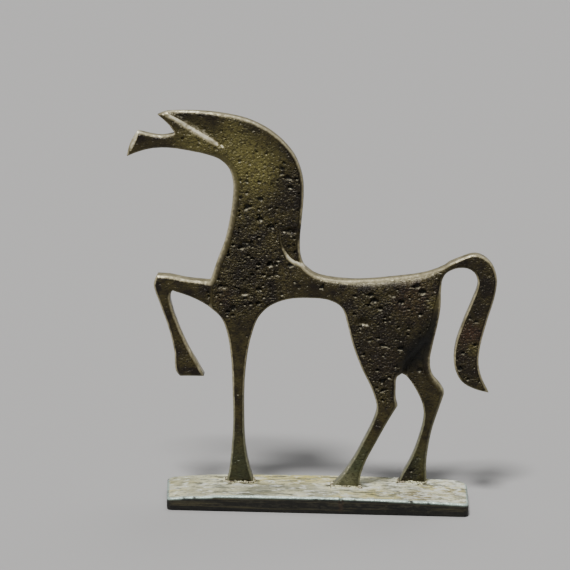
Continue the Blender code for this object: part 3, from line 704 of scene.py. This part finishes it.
def make_horse(material):
    """The animal, with casting skin on its flat sides and smooth worn rims that carry painted highlights."""
    obj = fine_skin("horse", HORSE_CELL)
    mesh = obj.data
    points = rounded_croup(mesh, positions(mesh))
    set_positions(mesh, points)
    facing = normals(mesh)
    tilted, bevel, worn = worn_and_highlighted_places(mesh, points, facing)
    near = facing[:, 1] < 0
    gouges = np.where(near, gouge_depths(points), 0) * (1 - tilted)
    points[:, 1] += gouges
    set_positions(mesh, points)
    side = np.where(near, 1.0, FAR_SIDE_SHARE)
    calm = np.maximum(tilted, worn)
    calm = np.maximum(calm, GOUGE_CALM * np.clip(gouges, 0, 1))
    write_attribute(mesh, "skin", (1 - calm) ** 2 * roughness_at(points) * side)
    write_attribute(mesh, "bevel", bevel)
    # worn: the rim mask of worn metal together with painted highlight
    write_attribute(mesh, "rim", worn)
    write_attribute(mesh, "gouge", gouges)
    sizes = {"Grain cell": GRAIN_CELL, "Grain depth": GRAIN_DEPTH, "Swell cell": SWELL_CELL,
             "Swell depth": SWELL_DEPTH, "Flatness": PIT_FLATNESS, "Warp cell": WARP_CELL,
             "Warp reach": WARP_REACH, "Seed": 40.0}
    for i, (cell, depth, chance) in enumerate(zip(PIT_CELLS, PIT_DEPTHS, PIT_CHANCES), 1):
        sizes["Pit cell %d" % i] = cell
        sizes["Pit depth %d" % i] = depth
        sizes["Pit chance %d" % i] = chance
    obj = run_tree(obj, relief_tree(material), sizes, "horse_relief")
    # Lips that face up, later painted light as painted highlight on partly rubbed metal
    write_attribute(obj.data, "lip", soft_step(normals(obj.data)[:, 2], *LIP_TILT))
    return thinned(obj, HORSE_TRIANGLES, "horse_casting", normals(obj.data)[:, 1] > LOOSER_FACES)


def slab_marks(points):
    """Sinks the nick and the low left end of the slab's front top edge."""
    low, high = (Vector(corner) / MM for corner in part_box("plinth"))
    to_edge = np.hypot(points[:, 1] - low.y, points[:, 2] - high.z)
    beside = np.clip(1 - np.abs(points[:, 0] - EDGE_NICK_X) / EDGE_NICK_HALF_WIDTH, 0, 1)
    nick = EDGE_NICK_DEPTH * beside * (1 - soft_step(to_edge, 1.0, 4.0))
    left = soft_step(EDGE_STEP_X - points[:, 0], 0.0, 1.5) * (1 - soft_step(to_edge, 4.0, EDGE_STEP_REACH))
    points[:, 2] -= (0.6 * nick + EDGE_STEP_DEPTH * left) * soft_step(points[:, 2], 2.0, 6.0)
    points[:, 1] += nick
    return points


def make_plinth(material):
    """The slab, with a rough pale top, brushed sides and a polished edge."""
    obj = fine_skin("plinth", PLINTH_CELL)
    mesh = obj.data
    points = slab_marks(positions(mesh))
    facing = normals(mesh)
    set_positions(mesh, points)
    top = soft_step(spread(mesh, facing[:, 2], 2), 0.80, 0.97)
    sideways = np.hypot(facing[:, 0], facing[:, 1])
    edge = spread(mesh, soft_step(facing[:, 2], 0.25, 0.5) * soft_step(sideways, 0.2, 0.5), 2)
    right_end = 1 + ROUGH_END_GAIN * soft_step(points[:, 0], ROUGH_END_X - ROUGH_END_REACH, ROUGH_END_X)
    write_attribute(mesh, "skin", top * right_end)
    write_attribute(mesh, "top", top)
    write_attribute(mesh, "edge", np.clip(edge * 1.6, 0, 1))
    write_attribute(mesh, "grime", 1 - soft_step(gap_to_soles(points), *GRIME_REACH))
    sizes = {"Grain cell": TOP_GRAIN_CELL, "Grain depth": TOP_GRAIN_DEPTH, "Swell cell": SLAB_SWELL_CELL,
             "Swell depth": SLAB_SWELL_DEPTH, "Flatness": 1.0, "Warp cell": WARP_CELL,
             "Warp reach": WARP_REACH, "Seed": 90.0}
    for i, (cell, depth, chance) in enumerate(zip(TOP_PIT_CELLS, TOP_PIT_DEPTHS, TOP_PIT_CHANCES), 1):
        sizes["Pit cell %d" % i] = cell
        sizes["Pit depth %d" % i] = depth
        sizes["Pit chance %d" % i] = chance
    obj = run_tree(obj, relief_tree(material), sizes, "plinth_relief")
    return thinned(obj, PLINTH_TRIANGLES, "plinth_casting")


def hull_round(points):
    """The convex outline of points in a plane, anticlockwise."""
    ordered = sorted(set(map(tuple, np.round(points, 3).tolist())))

    def half(run):
        kept = []
        for point in run:
            while len(kept) > 1:
                (ax, ay), (bx, by) = kept[-2:]
                if (bx - ax) * (point[1] - ay) - (by - ay) * (point[0] - ax) > 0:
                    break
                kept.pop()
            kept.append(point)
        return kept[:-1]

    return np.array(half(ordered) + half(ordered[::-1]))


def soles(mesh):
    """The outline of each standing hoof's sole, and the height of the slab under it."""
    points = positions(mesh)
    low = points[points[:, 2] < points[:, 2].min() + SOLE_BAND]
    low = low[np.argsort(low[:, 0])]
    parted = np.flatnonzero(np.diff(low[:, 0]) > 5.0) + 1
    return [(hull_round(group[:, :2]), group[:, 2].min()) for group in np.split(low, parted)]


def sole_loops():
    """The outlines of the soles of the standing hooves, each with the slab's height under it."""
    source = joined_copy("horse")
    loops = soles(source.data)
    bpy.data.objects.remove(source, do_unlink=True)
    return loops


def gap_to_soles(points):
    """How far each point is from the nearest sole's outline, as seen from above."""
    nearest = np.full(len(points), np.inf)
    for outline, _ in sole_loops():
        for start, end in zip(outline, np.roll(outline, -1, axis=0)):
            way = end - start
            off = points[:, :2] - start
            share = np.clip(off @ way / (way @ way), 0, 1)
            nearest = np.minimum(nearest, np.linalg.norm(off - share[:, None] * way, axis=1))
    return nearest


def seam_tree(material):
    """A lumpy bead laid along a loop, with crumbs of metal on it."""
    sizes = {"Seam radius": 0.5, "Bead radius": 0.6, "Bead variation": 0.5, "Bead chance": 0.6, "Step": 0.9,
             "Wave": 0.4, "Wave cell": 1.4}
    tree, given, output = tree_with_sizes("weld seam", sizes)
    size = {socket.name: socket for socket in given.outputs}
    metres = {name: worked(tree, "MULTIPLY", size[name], MM) for name in ("Seam radius", "Bead radius", "Step")}
    curve = put(tree, "GeometryNodeMeshToCurve", {"Mesh": size["Geometry"]}).outputs["Curve"]
    even = put(tree, "GeometryNodeResampleCurve", {"Curve": curve, "Length": metres["Step"]}, mode="LENGTH")
    ring = put(tree, "GeometryNodeCurvePrimitiveCircle", {"Resolution": 8, "Radius": metres["Seam radius"]})
    bead = put(tree, "GeometryNodeCurveToMesh", {
        "Curve": even.outputs["Curve"], "Profile Curve": ring.outputs["Curve"]})
    spots = put(tree, "GeometryNodeCurveToPoints", {"Curve": curve, "Length": metres["Step"]}, mode="LENGTH")
    lump = put(tree, "GeometryNodeMeshIcoSphere", {"Radius": metres["Bead radius"], "Subdivisions": 2})
    chance = put(tree, "FunctionNodeRandomValue", {
        "Probability": size["Bead chance"], "Seed": SEAM_SEED}, data_type="BOOLEAN")
    least = worked(tree, "SUBTRACT", 1.0, size["Bead variation"])
    growth = put(tree, "FunctionNodeRandomValue", {
        2: least, 3: worked(tree, "ADD", 1.0, size["Bead variation"]), "Seed": SEAM_SEED + 1}, data_type="FLOAT")
    lumps = put(tree, "GeometryNodeInstanceOnPoints", {
        "Points": spots.outputs["Points"], "Selection": chance.outputs[3],
        "Instance": lump.outputs["Mesh"], "Scale": growth.outputs[1]})
    both = put(tree, "GeometryNodeJoinGeometry")
    tree.links.new(bead.outputs["Mesh"], both.inputs[0])
    tree.links.new(lumps.outputs["Instances"], both.inputs[0])
    place = put(tree, "GeometryNodeInputPosition").outputs["Position"]
    scale = worked(tree, "DIVIDE", 1.0 / MM, size["Wave cell"])
    wave = put(tree, "ShaderNodeTexNoise", {"Vector": place, "Scale": scale, "Detail": 2.0}).outputs["Color"]
    wave = vector_worked(tree, "SUBTRACT", wave, (0.5, 0.5, 0.5))
    reach = worked(tree, "MULTIPLY", size["Wave"], 2 * MM)
    wave = put(tree, "ShaderNodeVectorMath", {0: wave, "Scale": reach}, operation="SCALE").outputs["Vector"]
    real = put(tree, "GeometryNodeRealizeInstances", {"Geometry": both.outputs["Geometry"]})
    moved = put(tree, "GeometryNodeSetPosition", {"Geometry": real.outputs["Geometry"], "Offset": wave})
    end_tree(tree, moved.outputs["Geometry"], material, output)
    return tree


def make_seams(material):
    """The weld seams that join the soles to the slab."""
    bm = bmesh.new()
    for outline, height in sole_loops():
        ring = [bm.verts.new(Vector((x, y, height)) * MM) for x, y in outline]
        for a, b in zip(ring, ring[1:] + ring[:1]):
            bm.edges.new((a, b))
    for x, y, length in CRUMBS:
        ends = [bm.verts.new(Vector((x + side * length / 2, y, CRUMB_HEIGHT)) * MM) for side in (-1, 1)]
        bm.edges.new(ends)
    mesh = bpy.data.meshes.new("sole_loops")
    bm.to_mesh(mesh)
    bm.free()
    sizes = {"Seam radius": SEAM_RADIUS, "Bead radius": BEAD_RADIUS, "Bead variation": BEAD_VARIATION,
             "Bead chance": BEAD_CHANCE, "Step": SEAM_STEP, "Wave": SEAM_WAVE, "Wave cell": SEAM_WAVE_CELL}
    obj = run_tree(new_object("sole_loops", mesh), seam_tree(material), sizes, "weld_seams")
    obj.data.shade_smooth()
    return obj


def new_material(name, metallic):
    """A material with its shader, and its coordinates in millimetres."""
    material = bpy.data.materials.new(name)
    material.use_nodes = True
    tree = material.node_tree
    shader = tree.nodes["Principled BSDF"]
    shader.inputs["Metallic"].default_value = metallic
    place = put(tree, "ShaderNodeTexCoord").outputs["Object"]
    place = vector_worked(tree, "DIVIDE", place, (MM, MM, MM))
    return material, tree, shader, place


def shader_noise(tree, place, cell, detail, stretch=(1.0, 1.0, 1.0)):
    """Noise in cells of a size, stretched where the finish runs one way."""
    place = vector_worked(tree, "DIVIDE", place, stretch)
    return put(tree, "ShaderNodeTexNoise", {
        "Vector": place, "Scale": 1.0 / cell, "Detail": detail}).outputs[0]


def blended(tree, amount, first, second):
    """One colour turning into another by an amount."""
    mix = put(tree, "ShaderNodeMix", {0: amount}, data_type="RGBA")
    for index, colour in ((6, first), (7, second)):
        if isinstance(colour, bpy.types.NodeSocket):
            tree.links.new(colour, mix.inputs[index])
        else:
            mix.inputs[index].default_value = (*colour, 1.0)
    return mix.outputs[2]


def share_between(tree, amount, first, second):
    """A number turning from one value into another by an amount."""
    return put(tree, "ShaderNodeMix", {0: amount, 2: first, 3: second}, data_type="FLOAT").outputs[0]


def stored(tree, name):
    """A number stored on the mesh."""
    return put(tree, "ShaderNodeAttribute", attribute_name=name).outputs["Fac"]


def bumped(tree, shader, height, reach, strength):
    """Fine relief in the shading, its height in millimetres."""
    bump = put(tree, "ShaderNodeBump", {"Height": height, "Distance": reach * MM, "Strength": strength})
    tree.links.new(bump.outputs["Normal"], shader.inputs["Normal"])


def grain_height(tree, place):
    """Fine casting grain as heights in millimetres: rough ground with many small hollows, wider than high."""
    place = vector_worked(tree, "MULTIPLY", place, (1.0, 1.0, PIT_FLATNESS))
    ground = put(tree, "ShaderNodeTexNoise", {
        "Vector": place, "Scale": 1.0 / FINE_CELL, "Detail": FINE_DETAIL}).outputs[0]
    height = worked(tree, "MULTIPLY", ground, FINE_HEIGHT)
    for cell, mouth, depth in FINE_HOLLOWS:
        cells = put(tree, "ShaderNodeTexVoronoi", {"Vector": place, "Scale": 1.0 / cell})
        hollow = eased(tree, cells.outputs["Distance"], 0.3 * mouth, mouth)
        height = worked(tree, "MULTIPLY_ADD", hollow, depth, height)
    return height


def horse_bronze():
    """Olive and brown patina, black painted as shade in the pits, worn metal with painted highlight along the rims,
    and painted highlight and shade on the grain's lips and slopes.
    """
    material, tree, shader, place = new_material("horse bronze", 0.20)
    shader.inputs["Specular IOR Level"].default_value = 0.25
    side_on = vector_worked(tree, "MULTIPLY", place, (1.0, 0.0, 1.0))
    clouds = shader_noise(tree, place, 7.0, 4.0)
    specks = shader_noise(tree, place, 1.6, 5.0)
    colour = blended(tree, eased(tree, clouds, 0.40, 0.66), OLIVE, DARK_BROWN)
    for x, z, reach, tint, strength in PATCHES:
        gap = put(tree, "ShaderNodeVectorMath", {0: side_on, 1: (x, 0.0, z)}, operation="DISTANCE")
        near = eased(tree, gap.outputs["Value"], reach, 0.15 * reach)
        broken = worked(tree, "MULTIPLY_ADD", clouds, 0.9, 0.45)
        amount = worked(tree, "MULTIPLY", worked(tree, "MULTIPLY", near, broken), strength)
        colour = blended(tree, worked(tree, "MINIMUM", amount, 1.0), colour, tint)
    skin = stored(tree, "skin")
    dull = worked(tree, "MULTIPLY", eased(tree, specks, 0.50, 0.62), worked(tree, "MULTIPLY_ADD", skin, 0.7, 0.15))
    colour = blended(tree, worked(tree, "MINIMUM", dull, 0.9), colour, DARK_BROWN)
    grain = grain_height(tree, place)
    grain_above = grain_height(tree, vector_worked(tree, "ADD", place, (0.0, 0.0, SLOPE_STEP)))
    slope = worked(tree, "DIVIDE", worked(tree, "SUBTRACT", grain, grain_above), SLOPE_STEP)
    grained = worked(tree, "MULTIPLY_ADD", skin, 0.7, 0.25)
    # Painted shade: grain slopes that face down are blackened
    dark = worked(tree, "MULTIPLY", worked(tree, "MULTIPLY", eased(tree, slope, *SHADED_SLOPES), grained), 0.85)
    colour = blended(tree, worked(tree, "MINIMUM", dark, 1.0), colour, PIT_BLACK)
    sunk = stored(tree, "sunk")
    # Painted shade: black in the deep pits and gouges
    hollow = worked(tree, "MAXIMUM", eased(tree, sunk, 0.28, 0.75), eased(tree, stored(tree, "gouge"), 0.3, 0.9))
    colour = blended(tree, worked(tree, "MULTIPLY", hollow, 0.9), colour, PIT_BLACK)
    clusters = eased(tree, shader_noise(tree, place, CLUSTER_CELL, 3.0), 0.42, 0.60)
    # Painted highlight, partly rubbed metal: grain slopes that face up are lightened
    grain_highlight = worked(tree, "MULTIPLY", eased(tree, slope, *HIGHLIGHT_SLOPES), worked(tree, "MULTIPLY", skin, skin))
    grain_highlight = worked(tree, "MULTIPLY", grain_highlight, worked(tree, "MULTIPLY_ADD", clusters, 0.75, 0.08))
    colour = blended(tree, worked(tree, "MINIMUM", grain_highlight, 1.0), colour, GRAIN_HIGHLIGHT_AND_WEAR)
    flat_part = worked(tree, "SUBTRACT", 1.0, stored(tree, "bevel"))
    broken = worked(tree, "MULTIPLY", eased(tree, specks, 0.40, 0.56), LIP_STRENGTH)
    # Painted highlight, partly rubbed metal: lips facing up on the flat sides
    lip = worked(tree, "MULTIPLY", worked(tree, "MULTIPLY", stored(tree, "lip"), flat_part), broken)
    colour = blended(tree, lip, colour, LIP_HIGHLIGHT_AND_WEAR)
    rim = stored(tree, "rim")
    wear = shader_noise(tree, place, 5.0, 3.0)
    rim_colour = blended(tree, worked(tree, "MULTIPLY", eased(tree, wear, 0.48, 0.72), 0.6), WORN_RIM_AND_HIGHLIGHT, RIM_SHADE)
    height = put(tree, "ShaderNodeSeparateXYZ", {0: place}).outputs["Z"]
    greened = worked(tree, "MULTIPLY", eased(tree, height, *RIM_GREENS), 0.8)
    rim_colour = blended(tree, greened, rim_colour, RIM_GREEN)
    frayed = worked(tree, "MULTIPLY_ADD", specks, RIM_FRAY, 1 - 0.5 * RIM_FRAY)
    frayed = worked(tree, "MULTIPLY", rim, frayed)
    # Rim colour laid on by the rim mask: worn metal with painted highlight
    colour = blended(tree, eased(tree, frayed, 0.04, 0.95), colour, rim_colour)
    # Painted highlight: near-white where the rims and streaks are brightest
    bright = worked(tree, "MULTIPLY", eased(tree, frayed, 0.85, 1.25), eased(tree, wear, 0.66, 0.44))
    colour = blended(tree, bright, colour, WORN_RIM_HIGHLIGHT)
    tree.links.new(colour, shader.inputs["Base Color"])
    rough = share_between(tree, rim, worked(tree, "MULTIPLY_ADD", specks, 0.2, 0.26), 0.30)
    tree.links.new(rough, shader.inputs["Roughness"])
    fine = worked(tree, "MULTIPLY", grain, share_between(tree, rim, 1.0, 0.06))
    fine = worked(tree, "MULTIPLY", fine, worked(tree, "MULTIPLY_ADD", skin, 0.8, 0.2))
    bumped(tree, shader, fine, 1.0, 0.9)
    return material


def plinth_bronze():
    """A pale mottled top with white painted highlights, dark brushed sides and a bright edge between them; the top's
    paleness and the sides' darkness are partly their finish and partly painted light and shade.
    """
    material, tree, shader, place = new_material("plinth bronze", 0.20)
    along = put(tree, "ShaderNodeSeparateXYZ", {0: place}).outputs["X"]
    tint = shader_noise(tree, place, 15.0, 2.0, (2.2, 1.0, 1.0))
    greys = shader_noise(tree, place, 3.4, 5.0, (3.2, 1.0, 1.0))
    lights = shader_noise(tree, place, 2.4, 7.0, (1.9, 1.0, 1.0))
    smears = shader_noise(tree, place, 1.8, 7.0, (2.2, 1.0, 1.0))
    specks = shader_noise(tree, place, 1.3, 4.0)
    crumbs = shader_noise(tree, place, 3.2, 6.0, (1.6, 1.0, 1.0))
    yellow = worked(tree, "MULTIPLY", eased(tree, tint, 0.54, 0.66), 0.6)
    top_colour = blended(tree, yellow, SLAB_PALE, SLAB_YELLOW)
    for x, y, reach, colour, strength in TOP_PATCHES:
        gap = put(tree, "ShaderNodeVectorMath", {0: place, 1: (x, y, PLINTH_TOP)}, operation="DISTANCE")
        near = eased(tree, gap.outputs["Value"], reach, 0.2 * reach)
        broken = worked(tree, "MULTIPLY_ADD", lights, 1.6, 0.1)
        amount = worked(tree, "MULTIPLY", worked(tree, "MULTIPLY", near, broken), strength)
        top_colour = blended(tree, worked(tree, "MINIMUM", amount, 1.0), top_colour, colour)
    top_colour = blended(tree, worked(tree, "MULTIPLY", eased(tree, greys, 0.51, 0.63), 0.8), top_colour, SLAB_GREY)
    # White painted highlights streaked across the top
    top_colour = blended(tree, worked(tree, "MULTIPLY", eased(tree, lights, 0.52, 0.66), 0.9), top_colour, SLAB_HIGHLIGHT)
    top_colour = blended(tree, worked(tree, "MULTIPLY", eased(tree, smears, 0.52, 0.66), 0.6), top_colour, SLAB_SHADE)
    grime = stored(tree, "grime")
    rough_part = worked(tree, "MAXIMUM", eased(tree, along, 20.0, 62.0), grime)
    # White painted highlights on crumbs towards the right end and round the soles
    light_specks = worked(tree, "MULTIPLY", eased(tree, crumbs, 0.50, 0.40), rough_part)
    top_colour = blended(tree, worked(tree, "MULTIPLY", light_specks, 0.85), top_colour, SLAB_HIGHLIGHT)
    dark_specks = worked(tree, "MULTIPLY", eased(tree, crumbs, 0.55, 0.62), rough_part)
    dark_specks = worked(tree, "MULTIPLY", dark_specks, worked(tree, "MULTIPLY_ADD", grime, 0.55, 0.35))
    top_colour = blended(tree, dark_specks, top_colour, SLAB_SHADE)
    # Painted shade: darker in the top's pits
    sunk = worked(tree, "MULTIPLY", eased(tree, stored(tree, "sunk"), 0.20, 0.60), 0.7)
    top_colour = blended(tree, sunk, top_colour, SLAB_SHADE)
    streaks = shader_noise(tree, place, 0.85, 3.0, (34.0, 1.0, 1.0))
    patches = shader_noise(tree, place, 9.0, 3.0, (2.0, 1.0, 1.0))
    side_colour = blended(tree, eased(tree, streaks, 0.50, 0.66), SLAB_DARK, SLAB_STREAK)
    side_colour = blended(tree, eased(tree, patches, 0.50, 0.68), side_colour, SLAB_BLACK)
    scuffs = shader_noise(tree, place, 1.0, 4.0, (3.5, 1.0, 1.0))
    lighter = worked(tree, "MULTIPLY_ADD", eased(tree, along, -10.0, 24.0), 0.35, 0.45)
    scuffed = worked(tree, "MULTIPLY", eased(tree, scuffs, 0.50, 0.66), lighter)
    side_colour = blended(tree, scuffed, side_colour, SLAB_SCUFF)
    rust = eased(tree, worked(tree, "ABSOLUTE", worked(tree, "SUBTRACT", along, EDGE_NICK_X)), 2.0, 0.3)
    rust = worked(tree, "MULTIPLY", rust, eased(tree, scuffs, 0.34, 0.50))
    side_colour = blended(tree, worked(tree, "MULTIPLY", rust, 0.8), side_colour, RUST)
    height = put(tree, "ShaderNodeSeparateXYZ", {0: place}).outputs["Z"]
    foot = worked(tree, "MULTIPLY", eased(tree, height, 3.2, 0.5), 0.8)
    side_colour = blended(tree, foot, side_colour, SLAB_BLACK)
    top = stored(tree, "top")
    edge = stored(tree, "edge")
    # The pale top and near-black sides: partly their own finish, partly painted light and shade
    colour = blended(tree, top, side_colour, top_colour)
    bright_edge = worked(tree, "MULTIPLY", edge, eased(tree, lights, 0.30, 0.48))
    colour = blended(tree, worked(tree, "MULTIPLY", bright_edge, 0.9), colour, EDGE_TURQUOISE)
    tree.links.new(colour, shader.inputs["Base Color"])
    rough = share_between(tree, top, 0.50, worked(tree, "MULTIPLY_ADD", specks, 0.3, 0.45))
    tree.links.new(share_between(tree, edge, rough, 0.30), shader.inputs["Roughness"])
    bumped(tree, shader, worked(tree, "ADD", streaks, worked(tree, "MULTIPLY", specks, 2.0)), 0.30, 0.8)
    return material


def seam_bronze():
    """Brown and pale weld metal, with dark specks in its grain."""
    material, tree, shader, place = new_material("weld seam bronze", 0.20)
    grain = shader_noise(tree, place, 0.9, 4.0)
    patches = shader_noise(tree, place, 3.5, 2.0)
    colour = blended(tree, eased(tree, patches, 0.42, 0.58), SLAB_PALE, SEAM_BROWN)
    colour = blended(tree, eased(tree, grain, 0.46, 0.62), colour, SLAB_SHADE)
    tree.links.new(colour, shader.inputs["Base Color"])
    shader.inputs["Roughness"].default_value = 0.5
    bumped(tree, shader, grain, 0.12, 0.5)
    return material


def make_floor():
    """A wide pale floor under the slab."""
    bpy.ops.mesh.primitive_plane_add(size=FLOOR_SIDE, location=(0.0, 0.0, cad_bounds[0][2]))
    floor = bpy.context.object
    floor.name = "studio_floor"
    material = bpy.data.materials.new("pale floor")
    material.use_nodes = True
    shader = material.node_tree.nodes["Principled BSDF"]
    shader.inputs["Base Color"].default_value = (*FLOOR_COLOUR, 1.0)
    shader.inputs["Roughness"].default_value = 0.9
    shader.inputs["Specular IOR Level"].default_value = 0.1
    floor.data.materials.append(material)


def soft_sun(name, towards_light, spread_deg, strength):
    """A soft light that comes evenly from one direction."""
    light = bpy.data.lights.new(name, "SUN")
    light.energy = strength
    light.angle = math.radians(spread_deg)
    obj = bpy.data.objects.new(name, light)
    bpy.context.scene.collection.objects.link(obj)
    obj.rotation_euler = Vector(towards_light).to_track_quat("Z", "Y").to_euler()


def make_lights():
    """Light from high above that grazes the near side, light from behind for the rims, and a dim room."""
    for name, towards_light, spread_deg, strength in LIGHTS:
        soft_sun(name, towards_light, spread_deg, strength)
    world = bpy.data.worlds.new("dim room")
    bpy.context.scene.world = world
    world.use_nodes = True
    backdrop = world.node_tree.nodes["Background"]
    backdrop.inputs["Color"].default_value = (*ROOM_COLOUR, 1.0)
    backdrop.inputs["Strength"].default_value = ROOM_STRENGTH


def make_camera():
    """The camera, in front of the near side, a little above it and turned by a small angle."""
    yaw, pitch, roll = (math.radians(a) for a in (CAMERA_YAW_DEG, CAMERA_PITCH_DEG, CAMERA_ROLL_DEG))
    back = Vector((math.sin(yaw) * math.cos(pitch), -math.cos(yaw) * math.cos(pitch), math.sin(pitch)))
    level = (-back).cross(Vector((0.0, 0.0, 1.0))).normalized()
    above = back.cross(level)
    right = level * math.cos(roll) + above * math.sin(roll)
    up = back.cross(right)
    camera = bpy.data.cameras.new("camera")
    camera.lens = CAMERA_LENS
    camera.sensor_width = SENSOR_WIDTH
    camera.clip_end = 30.0
    obj = bpy.data.objects.new("camera", camera)
    bpy.context.scene.collection.objects.link(obj)
    place = (Vector(CAMERA_TARGET) + back * CAMERA_DISTANCE) * MM
    obj.matrix_world = Matrix.Translation(place) @ Matrix((right, up, back)).transposed().to_4x4()
    bpy.context.scene.camera = obj


horse = make_horse(horse_bronze())
plinth = make_plinth(plinth_bronze())
seams = make_seams(seam_bronze())
for piece in (horse, plinth, seams):
    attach(piece, "root")
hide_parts("horse")
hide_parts("plinth")
make_floor()
make_lights()
make_camera()
